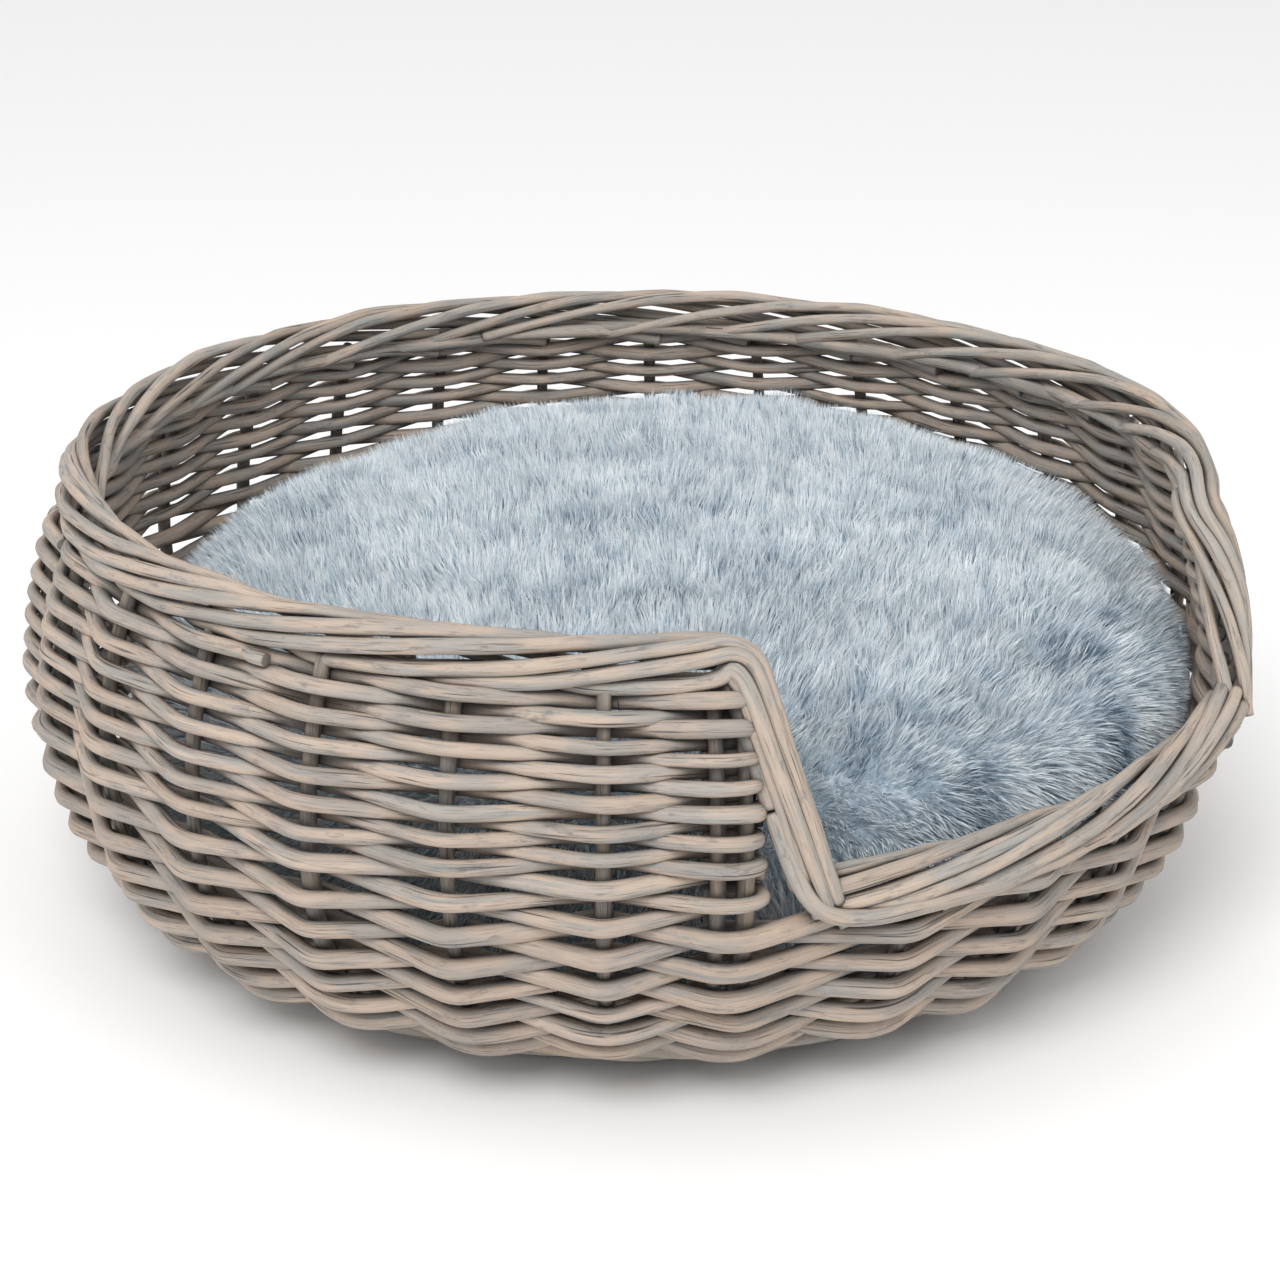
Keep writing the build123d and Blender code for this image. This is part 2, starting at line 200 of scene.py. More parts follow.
def rods_object(name, rods, material, seed):
    """One mesh object of several rods. Each rod is (points, radii, tone)."""
    rng = np.random.default_rng(seed)
    vertices, quads, grains, ends, tones, caps = [], [], [], [], [], []
    base = 0
    for points, radius, tone in rods:
        radius = np.broadcast_to(np.asarray(radius, float), (len(points),))
        v, f, g, e = rod_surface(points, radius, rng)
        vertices.append(v)
        quads.append(f + base)
        grains.append(g)
        ends.append(e)
        tones.append(np.full(len(v), tone))
        caps.append(list(range(base + SIDES - 1, base - 1, -1)))
        caps.append(list(range(base + len(v) - SIDES, base + len(v))))
        base += len(v)
    mesh = bpy.data.meshes.new(name)
    mesh.from_pydata(np.concatenate(vertices).tolist(), [], np.concatenate(quads).tolist() + caps)
    layers = (
        ("grain", grains, "FLOAT_VECTOR", "vector"),
        ("from_end", ends, "FLOAT", "value"),
        ("tone", tones, "FLOAT", "value"),
    )
    for key, values, kind, field in layers:
        layer = mesh.attributes.new(key, kind, "POINT")
        layer.data.foreach_set(field, np.concatenate(values).ravel())
    sides = len(mesh.polygons) - len(caps)
    mesh.polygons.foreach_set("use_smooth", [True] * sides + [False] * len(caps))
    mesh.materials.append(material)
    mesh.update()
    piece = bpy.data.objects.new(name, mesh)
    bpy.context.scene.collection.objects.link(piece)
    return piece


def place(piece, body, slot, *nodes):
    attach(piece, body)
    if nodes:
        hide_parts(*nodes)


def place_border(piece, node):
    place(piece, BASKET, "willow_border", node)


# ---------------------------------------------------------------- materials
def new_material(name):
    material = bpy.data.materials.new(name)
    material.use_nodes = True
    tree = material.node_tree
    tree.nodes.clear()
    return material, tree


class Nodes:
    """Short words for building a node tree."""

    def __init__(self, tree):
        self.tree = tree

    def add(self, kind, inputs=None, **settings):
        node = self.tree.nodes.new(kind)
        for key, value in settings.items():
            setattr(node, key, value)
        for key, value in (inputs or {}).items():
            if isinstance(value, bpy.types.NodeSocket):
                self.tree.links.new(value, node.inputs[key])
            else:
                node.inputs[key].default_value = value
        return node

    def attribute(self, name, output="Vector"):
        return self.add("ShaderNodeAttribute", attribute_name=name).outputs[output]

    def stretch(self, vector, scale):
        return self.add("ShaderNodeVectorMath", {0: vector, 1: scale}, operation="MULTIPLY").outputs[0]

    def noise(self, vector, detail=3.0, rough=0.55, scale=1.0):
        ins = {"Vector": vector, "Scale": scale, "Detail": detail, "Roughness": rough}
        return self.add("ShaderNodeTexNoise", ins).outputs["Fac"]

    def ramp(self, value, low, high):
        ins = {"Value": value, "From Min": low, "From Max": high}
        return self.add("ShaderNodeMapRange", ins, interpolation_type="SMOOTHSTEP").outputs[0]

    def math(self, operation, a, b):
        return self.add("ShaderNodeMath", {0: a, 1: b}, operation=operation).outputs[0]

    def mix(self, factor, a, b, mode="MIX"):
        node = self.tree.nodes.new("ShaderNodeMix")
        node.data_type = "RGBA"
        node.blend_type = mode
        for key, value in ((0, factor), (6, a), (7, b)):
            if isinstance(value, bpy.types.NodeSocket):
                self.tree.links.new(value, node.inputs[key])
            else:
                node.inputs[key].default_value = value
        return node.outputs[2]

    def surface(self, colour, rough, gloss, normal=None):
        ins = {"Base Color": colour, "Roughness": rough, "Specular IOR Level": gloss}
        if normal is not None:
            ins["Normal"] = normal
        shader = self.add("ShaderNodeBsdfPrincipled", ins)
        self.add("ShaderNodeOutputMaterial", {"Surface": shader.outputs[0]})


def srgb(r, g, b):
    """Linear colour of an 8-bit display colour."""
    return tuple(((c / 255 + 0.055) / 1.055) ** 2.4 for c in (r, g, b)) + (1.0,)


def willow(name, light, grey, dark, wash=0.5, on_rods=True):
    """Grey-washed willow: long streaks, patchy wash, blue-grey dirt in the grain, pale rubbed spots and
    painted shade in gaps.

    On rods the pattern follows the grain attribute. A CAD node has none, so there it has no direction.
    """
    material, tree = new_material(name)
    n = Nodes(tree)
    grain = n.attribute("grain") if on_rods else n.add("ShaderNodeTexCoord").outputs["Object"]

    def streaks(along, across, size, detail=3.0, rough=0.6):
        scale = (along, across, across) if on_rods else (size,) * 3
        return n.noise(n.stretch(grain, scale), detail, rough)

    fine = streaks(70.0, 1700.0, 400.0, 4.0, 0.65)
    broad = streaks(24.0, 300.0, 90.0)
    patch = streaks(30.0, 90.0, 30.0, 2.0, 0.5)
    smear = streaks(85.0, 320.0, 60.0, 5.0, 0.7)
    crack = streaks(26.0, 1000.0, 300.0, 2.0, 0.5)
    colour = n.mix(n.ramp(broad, 0.60 - 0.25 * wash, 0.70), light, grey)
    colour = n.mix(n.math("MULTIPLY", n.ramp(patch, 0.42, 0.66), 0.7), colour, grey)
    colour = n.mix(n.math("MULTIPLY", n.ramp(fine, 0.50, 0.74), 0.6), colour, dark)
    colour = n.mix(n.math("MULTIPLY", n.ramp(smear, 0.56, 0.70), 0.55), colour, srgb(92, 98, 102))
    colour = n.mix(n.math("MULTIPLY", n.ramp(crack, 0.63, 0.72), 0.85), colour, srgb(58, 60, 62))
    bare = n.math("MULTIPLY", n.ramp(patch, 0.36, 0.24), n.ramp(broad, 0.5, 0.36))
    colour = n.mix(n.math("MULTIPLY", bare, 0.6), colour, srgb(214, 184, 156))
    if on_rods:
        tone = n.attribute("tone", "Fac")
        shade = n.add("ShaderNodeCombineColor", {0: tone, 1: tone, 2: tone}).outputs[0]
        colour = n.mix(1.0, colour, shade, "MULTIPLY")
        cut = n.ramp(n.attribute("from_end", "Fac"), 0.0009, 0.0002)
        colour = n.mix(n.math("MULTIPLY", cut, 0.6), colour, srgb(104, 106, 104))
    # painted shade: ambient occlusion darkens the colour towards near-black blue-grey in the gaps
    # between rods
    gap = n.add("ShaderNodeAmbientOcclusion", {"Distance": 0.010}, samples=8).outputs["AO"]
    painted_gap_shade = n.mix(0.75, colour, srgb(30, 36, 40))
    colour = n.mix(n.ramp(gap, 0.74, 0.16), colour, painted_gap_shade)
    fine_bark = n.math("MULTIPLY", fine, 0.8)
    height = n.math("ADD", fine_bark, n.math("MULTIPLY", n.ramp(crack, 0.7, 0.6), 0.8))
    bump = n.add("ShaderNodeBump", {"Height": height, "Strength": 0.55, "Distance": 0.0007})
    rough = n.add("ShaderNodeMapRange", {"Value": fine, "To Min": 0.55, "To Max": 0.9}).outputs[0]
    n.surface(colour, rough, 0.3, bump.outputs[0])
    return material


WEAVE = willow("willow_weave", srgb(184, 166, 151), srgb(150, 148, 144), srgb(80, 81, 80))
BORDER = willow("willow_border", srgb(184, 167, 152), srgb(153, 152, 148), srgb(80, 83, 84), wash=0.6)
STAKE = willow("willow_stake", srgb(160, 145, 131), srgb(126, 124, 119), srgb(64, 63, 60), wash=0.6)
BASE_WILLOW = willow(
    "willow_base", srgb(172, 152, 136), srgb(138, 134, 130), srgb(80, 76, 72), on_rods=False
)
BASE_STICK = willow(
    "willow_base_stick", srgb(146, 130, 116), srgb(116, 112, 108), srgb(66, 62, 58), on_rods=False
)


# ---------------------------------------------------------------- stakes
def wall_line(angle, low, high, step=2.0):
    """Points up the wall between two leans, in degrees."""
    tilt = np.linspace(low, high, int(abs(low - high) / step) + 2)
    r, z = wall_at(tilt)
    return polar(angle, r, z)


TAIL_ENDS = (0.122, 0.168)  # where the stakes lie straight beside the base sticks, from the middle
TAIL_ASIDE, THICK_TAIL_ASIDE = 0.0078, 0.0081  # from a base stick's middle line to the tail's
THICK_STICKS = 0.85  # the thick sticks lie within this cosine of the entrance's direction
STAKE_WOBBLE = 0.0003


def side_stake(number, top_tilt, rng):
    """A stake from beside its base stick, round the foot and up the wall."""
    spoke = (number + 1) // 2
    side = 1 if number == 2 * spoke else -1
    thick = abs(cos(radians(spoke * 2 * STEP_ANGLE))) > THICK_STICKS
    aside = side * (THICK_TAIL_ASIDE if thick else TAIL_ASIDE)
    along = polar(spoke * 2 * STEP_ANGLE, 1.0, 0.0)
    across = np.array([-along[1], along[0], 0.0])
    tail = [along * x + across * aside + [0, 0, FLOOR_Z] for x in TAIL_ENDS]
    angle = stake_angle(number)
    low_r, low_z = wall_at(FOOT_TILT)
    foot = polar(angle, low_r - (low_z - FLOOR_Z), FLOOR_Z)
    line = np.concatenate([tail, [foot], wall_line(angle, FOOT_TILT - 5.0, top_tilt)])
    line = soften(resample(line, ROD_STEP), 0.004)
    wobble = np.stack([noise_line(rng, len(line), 14) for _ in range(3)], -1) * STAKE_WOBBLE
    return line + wobble


STAKE_TOP, LOW_STAKE_TOP = 0.1735, 0.0895
WALL_TOP_TILT = -degrees(asin((STAKE_TOP - BELLY_Z) / UPPER_R))
LOW_TOP_TILT = degrees(asin((BELLY_Z - LOW_STAKE_TOP) / LOWER_R))
POST_FOOT_TILT = 24.0  # the second rod of a corner post starts here


def build_stakes():
    rng = np.random.default_rng(11)
    tall, short = [], []
    for number in range(STAKE_COUNT):
        at_entrance = number < FIRST_POST or number > LAST_POST
        line = side_stake(number, LOW_TOP_TILT if at_entrance else WALL_TOP_TILT, rng)
        rod = (line, STAKE_RADIUS * rng.uniform(0.95, 1.08), rng.uniform(0.8, 1.1))
        (short if at_entrance else tall).append(rod)
    piece = rods_object("side_stake_rods", tall, STAKE, 1)
    place(piece, BASKET, "willow_stake", "side_stakes")
    piece = rods_object("entrance_stake_rods", short, STAKE, 2)
    place(piece, BASKET, "willow_stake", "entrance_stakes")
    posts = []
    for sign in (-1, 1):
        line = wall_line(sign * (CORNER_POST + POST_STEP), POST_FOOT_TILT, WALL_TOP_TILT)
        line = resample(line, ROD_STEP)
        posts.append((line, STAKE_RADIUS, 0.95))
    piece = rods_object("corner_post_rods", posts, STAKE, 3)
    place(piece, BASKET, "willow_stake", "corner_posts")


# ---------------------------------------------------------------- wall weave
def row_tilt(length):
    """The wall's lean at a length up the stakes from their bend."""
    lower = LOWER_R * radians(FOOT_TILT)
    below = FOOT_TILT - np.degrees(length / LOWER_R)
    above = -np.degrees((length - lower) / UPPER_R)
    return np.where(length < lower, below, above)


WALL_LENGTH = 0.15  # up the stakes, roughly
SWAY = round_noise(5, 9)
SWAY_UP = round_noise(6, 7)


def row_height(length, angle):
    """The rows ride up and down together a little round the basket."""
    bow = np.sin(pi * np.clip(length / WALL_LENGTH, 0, 1))
    return length + 0.0013 * SWAY(angle) * bow + 0.0011 * SWAY_UP(angle) * bow**2


ROW_JITTER = 0.00045
DOUBLED_FROM = 0.04  # whole rows above this length go round both rods of the corner posts
ROW_END_INSIDE = 0.7  # degrees that a whole row's ends keep from their stake
SHARPNESS = (0.012, 0.0035, 0.006)  # how round the waves of the flat, thick and other rows are
POST_WALL_RADIUS = 0.24  # the wall's radius at the posts, roughly


def row_end(row, length, radius, number, sign, rng):
    """How a row that stops at the entrance ends, from its corner post on."""
    reach = STAKE_RADIUS + radius
    side = 1 if (number + row) % 2 else -1
    post = stake_angle(number)
    tilt = row_tilt(length)
    if sign < 0:  # on the right side the rows run on and end under the border, which flares out
        z = wall_at(tilt)[1]
        flare = RIGHT_FLARE * max(1 - (z - LOW_RIM_Z) / (RIM_Z - LOW_RIM_Z), 0.0) ** 0.7
        return [polar(slant_angle(z) + 1.0, *wall_at(tilt, side * 0.0015 + 0.8 * flare))]
    if side > 0:  # on the left side the weaver turns round the post and ends inside
        turn = post + 0.9 * degrees((reach + 0.001) / POST_WALL_RADIUS)
        steps = ((turn, 0.75 * reach), (turn, -0.75 * reach))
        steps += ((post - 1.0, -reach - 0.0008), (post - 3.4, -reach - 0.001))
        return [polar(angle, *wall_at(tilt, out)) for angle, out in steps]
    # or it ends inside, just past the post
    return [polar(post + rng.uniform(0.8, 2.0), *wall_at(tilt, -reach))]


def weaver_line(row, length, radius, whole, sharp, rng):
    """Middle line of one row of weave, over one stake and under the next."""
    first = 2 * row + 4 + row % 2 if whole else FIRST_POST
    count = STAKE_COUNT + 1 if whole else LAST_POST - FIRST_POST + 1
    reach = STAKE_RADIUS + radius
    corners = []
    for step in range(count):
        number = (first + step) % STAKE_COUNT
        angle = stake_angle(number)
        side = 1 if (number + row) % 2 else -1
        tilt = row_tilt(row_height(length, angle) + rng.normal(0, ROW_JITTER))
        angles = [angle]
        if not whole or length > DOUBLED_FROM:
            if number == FIRST_POST:
                angles = [angle, angle + POST_STEP]
            if number == LAST_POST:
                angles = [angle - POST_STEP, angle]
        if whole and step in (0, count - 1):
            angles = [angle + (ROW_END_INSIDE if step == 0 else -ROW_END_INSIDE)]
        turn = 4 * reach / (wall_at(tilt)[0] * radians(STEP_ANGLE)) + side * radians(STEP_ANGLE)
        spare = 0.4 * sharp * turn  # what rounding the wave takes off its height
        corners += [polar(a, *wall_at(tilt, side * (reach + spare))) for a in angles]
    if not whole:
        corners = row_end(row, length, radius, FIRST_POST, -1, rng)[::-1] + corners
        corners += row_end(row, length, radius, LAST_POST, 1, rng)
    return soften(resample(np.array(corners), ROD_STEP), sharp)


def taper(count, rng, radius, pieces):
    """Radii along a row: each willow in it runs from a thick butt to a thin tip."""
    radii = np.zeros(count)
    inner = np.arange(1, pieces) / pieces * count + rng.integers(-30, 30, pieces - 1)
    cuts = [0] + sorted(inner.astype(int)) + [count]
    for a, b in zip(cuts, cuts[1:]):
        ends = [1.10, 0.90] if rng.random() < 0.5 else [0.90, 1.10]
        radii[a:b] = radius * np.linspace(*ends, b - a)
    kernel = np.ones(9) / 9
    return np.convolve(np.pad(radii, 4, "edge"), kernel, "valid")


def build_rows():
    rng = np.random.default_rng(21)
    bands = (
        ("lower_weaver_{:02d}", THICK_ROWS, THICK_RADIUS, THICK_PITCH),
        ("middle_weaver_{}", MIDDLE_ROWS, MIDDLE_RADIUS, THICK_PITCH),
        ("upper_weaver_{:02d}", THIN_ROWS, THIN_RADIUS, THIN_PITCH),
    )
    length, row = FIRST_ROW, 0
    for name, rows, radius, pitch in bands:
        if pitch == THIN_PITCH:
            length += (THIN_PITCH - THICK_PITCH) / 2
        for number in range(rows):
            node = name.format(number + 1)
            sharp = SHARPNESS[(row >= FLAT_ROWS) + (row > THICK_ROWS)]
            line = weaver_line(row, length, radius, row < THICK_ROWS, sharp, rng)
            radii = taper(len(line), rng, radius, 3)
            rod = (line, radii, rng.uniform(0.9, 1.06))
            piece = rods_object(node + "_rod", [rod], WEAVE, 100 + row)
            place(piece, BASKET, "willow_weave", node)
            length += pitch
            row += 1


# ---------------------------------------------------------------- plaited borders
class Track:
    """The middle line of a border, with the directions out of the wall and across it."""

    def __init__(self, corners, sigma):
        line = soften(resample(np.array(corners), ROD_STEP), sigma)
        self.points = line
        self.length = np.r_[0, np.cumsum(np.linalg.norm(np.diff(line, axis=0), axis=1))]
        run = np.gradient(line, axis=0)
        run /= np.linalg.norm(run, axis=1)[:, None]
        out = line * [1, 1, 0]
        out /= np.linalg.norm(out, axis=1)[:, None]
        self.side = np.cross(out, run)
        self.side /= np.linalg.norm(self.side, axis=1)[:, None]
        self.out = np.cross(run, self.side)

    def at(self, place, out, side):
        """Points at lengths along the track, moved out of the wall and across it."""

        def pick(table):
            return np.stack([np.interp(place, self.length, table[:, i]) for i in range(3)], -1)

        moved = pick(self.out) * out[:, None] + pick(self.side) * side[:, None]
        return pick(self.points) + moved


def on_wall(angle, z):
    return polar(angle, wall_radius(z), z)


def rim_track():
    """Up the entrance's right side, round the top and down its left side."""
    heights = np.append(np.arange(0.090, 0.170, 0.015), RIM_Z - 0.002)
    right = [on_wall(slant_angle(z), z) for z in heights]
    left = [on_wall(-slant_angle(z) - LEFT_SHIFT, z + 0.004) for z in heights[::-1]]
    last = 360 - TOP_CORNER - LEFT_SHIFT - 0.5
    around = [on_wall(a, RIM_Z) for a in np.arange(TOP_CORNER + 1.5, last, 2.0)]
    return Track(right + around + left, 0.0035)


# A border rod leaves its stake, passes inside the next one, comes out, climbs over the top, goes down
# inside and ends in a cut tip that pokes out under the border. Along the border it is measured in stake
# gaps, and out of the wall and across it in mm.
RIM_GAPS = [0.0, 0.45, 1.0, 1.5, 1.9, 2.6, 3.4, 4.2, 5.0, 5.8, 6.5, 7.1, 7.4, 7.54, 7.68]
RIM_OUT = [0.0, -2.2, -5.6, -2.5, 4.4, 7.0, 7.4, 5.6, 1.4, -3.6, -6.6, -6.4, -5.0, -1.5, 9.4]
RIM_SIDE = [-14.0, -9.6, -8.2, -8.6, -8.6, -5.6, -0.4, 4.8, 7.6, 5.8, 0.4, -5.6, -9.0, -11.0, -11.6]
TIP_START = 7.1  # where the rod leaves the border for its tip
SLANT_TWIST = 2.1  # how much quicker the rods turn up the entrance's right side
RIM_BUTT, RIM_TIP = 0.00315, 0.0024
SWELL_OUT, SWELL_UP, SWELL_REACH = 0.005, 0.0035, 0.24  # the border swells before its right corner
FOOT_FLARE = 0.005  # what the lowest fifth of the right side leans out on top of its flare
RIGHT_ENDS = (0.011, 0.017)  # where rods that run down the right side are cut off
START_JITTER = 0.002  # along the border
FEWEST_POINTS = 12  # a rod with fewer is left out
LAST_RODS = (0.93, 0.55)  # how far down the entrance's left side the last two rods reach


def border_offsets(share, rng):
    """How far a border rod stands out of the wall and up it, at its gaps from its stake."""
    stretched = share * rng.uniform(0.96, 1.04)
    out = np.interp(stretched, RIM_GAPS, RIM_OUT) * MM + 0.0005 * noise_line(rng, len(share), 12)
    side = np.interp(stretched, RIM_GAPS, RIM_SIDE) * MM + 0.0006 * noise_line(rng, len(share), 12)
    return out, side


def build_rim():
    rng = np.random.default_rng(31)
    track = rim_track()
    total = track.length[-1]
    turned = np.degrees(np.arctan2(track.points[:, 0], -track.points[:, 1])) % 360
    corner = np.interp(TOP_CORNER, turned, track.length)
    numbers = range(FIRST_POST, LAST_POST + 1)
    stakes = [np.interp(stake_angle(k), turned, track.length) for k in numbers]
    gap = (stakes[-1] - stakes[0]) / (len(stakes) - 1)
    freeze = total - corner + 0.003  # past this corner the rods run straight down
    groups = [[] for _ in range(4)]
    for number in range(-8, len(stakes)):
        start = stakes[number] if number >= 0 else stakes[0] + number * gap
        start += rng.normal(0, START_JITTER)
        first = start if start > corner else corner - (corner - start) / SLANT_TWIST
        foot = rng.uniform(*RIGHT_ENDS)
        stop = start + RIM_GAPS[-1] * gap
        place = np.arange(max(first, foot), stop, ROD_STEP)
        runs_down = place[-1] > freeze + 0.012
        if runs_down:
            place = np.arange(max(first, foot), total, ROD_STEP)
        if len(place) < FEWEST_POINTS:
            continue
        lay = np.minimum(place, freeze)
        lay = np.where(place < corner, corner + (place - corner) * SLANT_TWIST, lay)
        out, side = border_offsets((lay - start) / gap, rng)
        swell = smooth(corner + SWELL_REACH, corner, place) * smooth(0.3 * corner, corner, place)
        flare = np.clip(1 - place / corner, 0, 1)
        out += SWELL_OUT * swell + RIGHT_FLARE * flare**0.7 + FOOT_FLARE * smooth(0.8, 1.0, flare)
        side += SWELL_UP * swell
        down = np.clip((place - freeze) / (total - freeze), 0, 1)
        close = smooth(freeze - 0.015, freeze + 0.012, place)  # they close up down the left side
        side += close * (0.0030 - 0.42 * side)
        side += down * rng.normal(0, 0.0012)
        if runs_down and number >= len(stakes) - 2:
            keep = down < LAST_RODS[number - len(stakes)]
            place, out, side = place[keep], out[keep] + 0.002, side[keep] - 0.0015 * down[keep]
        radii = np.interp(place, [start, stop], [RIM_BUTT, RIM_TIP])
        line = soften(track.at(place, out, side), 0.0032)
        groups[number % 4].append((line, radii, rng.uniform(0.88, 1.10)))
    for i, rods in enumerate(groups):
        place_border(rods_object(f"rim_border_{i + 1}", rods, BORDER, 200 + i), f"rim_rod_{i + 1}")


LOW_BUTT, LOW_TIP = 0.0032, 0.0025
LOW_GAP = 0.68  # between the low border's rods, in stake gaps
CLIMB_OUT, CLIMB_UP = 0.007, 0.010  # how it climbs to the flared right side


def slant_rod(number):
    """Middle line of a rod that comes down the entrance's left side and on along its foot."""
    drop = 2.1 * number
    corners = [  # angle, height and distance out of the wall, in mm
        (-30.9 - 0.5 * number, 131.0, 2.0),
        (-29.6 - 0.4 * number, 112.0, 3.0),
        (-28.5 - 0.2 * number, 98.0, 6.5),
        (-26.9, 92.0 - 0.5 * drop, 10.4 - drop),
        (-22.5, 90.0 - drop, 9.8 - drop),
        (-12.0, 90.5 - drop, 8.0 - drop),
        (-3.0, 92.0 - drop, 7.6 - drop),
        (5.0 + 7.0 * number, 93.5 - drop, 5.0 - drop),
        (12.0 + 7.0 * number, 92.5 - drop, -3.0),
    ]
    line = [polar(a, wall_radius(z * MM) + out * MM, z * MM) for a, z, out in corners]
    return soften(resample(line, ROD_STEP), 0.006)


def build_low_border():
    """The entrance's border: the same lay of rods, and two that come down the left side first."""
    rng = np.random.default_rng(41)
    end = LOW_CORNER - 1.2
    corners = []
    for a in np.linspace(-end - 1.2 - LEFT_SHIFT, end + 1.4, 28):
        rise = smooth(end - 11.0, end + 1.4, a)
        radius = wall_radius(LOW_RIM_Z) + CLIMB_OUT * rise
        corners.append(polar(a, radius, LOW_RIM_Z + CLIMB_UP * rise))
    track = Track(corners, 0.004)
    total = track.length[-1]
    gap = LOW_GAP * total / (2 * end / STEP_ANGLE)
    groups = [[] for _ in range(4)]
    for number in range(-8, 5):
        start = total / 2 + (number - 0.5) * gap + rng.normal(0, START_JITTER)
        stop = start + TIP_START * gap
        place = np.arange(max(start, 0.0), min(stop, total), ROD_STEP)
        if len(place) < FEWEST_POINTS:
            continue
        out, side = border_offsets((place - start) / gap, rng)
        hidden = np.clip(1 - place / 0.014, 0, 1)  # the left ends lie behind the slanting rods
        out -= 0.006 * hidden
        side -= 0.003 * hidden
        radii = np.interp(place, [start, stop], [LOW_BUTT, LOW_TIP])
        line = soften(track.at(place, out, side), 0.004)
        groups[number % 4].append((line, radii, rng.uniform(0.88, 1.08)))
    for number in range(2):
        line = slant_rod(number)
        groups[number].append((line, np.linspace(0.0030, 0.0026, len(line)), rng.uniform(0.9, 1.05)))
    for i, rods in enumerate(groups):
        piece = rods_object(f"entrance_border_{i + 1}", rods, BORDER, 220 + i)
        place_border(piece, f"entrance_rod_{i + 1}")


FOOT_GAPS = 3.3  # how many gaps a rod of the foot runs on for
FOOT_BUTT, FOOT_THINNER = 0.0034, 0.0007
FOOT_MID_Z, FOOT_SWING, FOOT_RISE = 0.0090, 0.0052, 0.0058


def build_foot():
    """The border that the basket stands on, under the base."""
    rng = np.random.default_rng(51)
    groups = [[] for _ in range(3)]
    for number in range(STAKE_COUNT):
        start = number * STEP_ANGLE + rng.normal(0, 0.6)
        angle = np.arange(start, start + FOOT_GAPS * STEP_ANGLE, 0.6)
        share = (angle - start) / (FOOT_GAPS * STEP_ANGLE)
        phase = np.radians(75 - 250 * share)  # over the top, out and down, and in again underneath
        radius = FOOT_BUTT - FOOT_THINNER * share
        r = FOOT_RADIUS + FOOT_SWING * np.cos(phase)
        z = np.maximum(FOOT_MID_Z + FOOT_RISE * np.sin(phase), radius * 1.08)
        groups[number % 3].append((soften(polar(angle, r, z), 0.004), radius, rng.uniform(0.85, 1.1)))
    for i, rods in enumerate(groups):
        place_border(rods_object(f"foot_border_{i + 1}", rods, BORDER, 240 + i), f"foot_rod_{i + 1}")


# A waling rod under the bend of the stakes, in stake gaps: it shows from top outside to bottom inside.
UPSETT_GAPS = [-0.6, -0.25, 0.1, 0.6, 1.2, 1.8, 2.4]
UPSETT_R = [188.5, 192.5, 197.0, 197.4, 191.5, 184.5, 179.5]
UPSETT_Z = [16.8, 17.4, 17.2, 14.2, 9.6, 7.0, 6.6]
UPSETT_BUTT, UPSETT_TIP = 0.0037, 0.0029


def build_upsett():
    rng = np.random.default_rng(52)
    groups = [[] for _ in range(3)]
    for number in range(STAKE_COUNT):
        start = rng.normal(0, 0.05)
        share = np.arange(UPSETT_GAPS[0], UPSETT_GAPS[-1], 0.04)
        angle = (number + 0.5 + start + share) * STEP_ANGLE
        r = np.interp(share, UPSETT_GAPS, UPSETT_R) * MM + 0.0004 * noise_line(rng, len(share), 10)
        z = np.interp(share, UPSETT_GAPS, UPSETT_Z) * MM + 0.0003 * noise_line(rng, len(share), 10)
        radius = np.interp(share, [UPSETT_GAPS[0], UPSETT_GAPS[-1]], [UPSETT_BUTT, UPSETT_TIP])
        radius *= rng.uniform(0.93, 1.05)
        groups[number % 3].append((soften(polar(angle, r, z), 0.005), radius, rng.uniform(0.85, 1.06)))
    for i, rods in enumerate(groups):
        place_border(rods_object(f"upsett_weave_{i + 1}", rods, BORDER, 260 + i), f"upsett_rod_{i + 1}")


# ---------------------------------------------------------------- cushion
PAD_RADIUS = 0.2125  # of the fur's backing cloth
PAD_TOP = 0.1440
PAD_LOW = 0.0325
SEAM_Z = 0.050
PAD_ROLL = 0.030  # radius of the rolled edge
PAD_CROWN = 0.004  # how much the middle stands over the shoulder
PAD_SIDE_FOOT = 0.076  # where the side starts to turn under
PAD_PUSH = 0.008  # the top is pushed towards the entrance's right side
AROUND = 216  # points in each ring of the pad
HAIR_COUNT, QUICK_HAIR_COUNT = 230000, 70000


class Lattice:
    """Smooth random field over the plan, from a random grid."""

    def __init__(self, seed, cell):
        rng = np.random.default_rng(seed)
        self.cell = cell
        self.grid = rng.standard_normal((400, 400))

    def at(self, x, y):
        u, v = x / self.cell + 200, y / self.cell + 200
        i, j = np.floor(u).astype(int), np.floor(v).astype(int)
        fu, fv = u - i, v - j
        fu, fv = fu * fu * (3 - 2 * fu), fv * fv * (3 - 2 * fv)
        g = self.grid
        i, j = i % 399, j % 399
        near = g[i, j] * (1 - fu) + g[i + 1, j] * fu
        far = g[i, j + 1] * (1 - fu) + g[i + 1, j + 1] * fu
        return near * (1 - fv) + far * fv


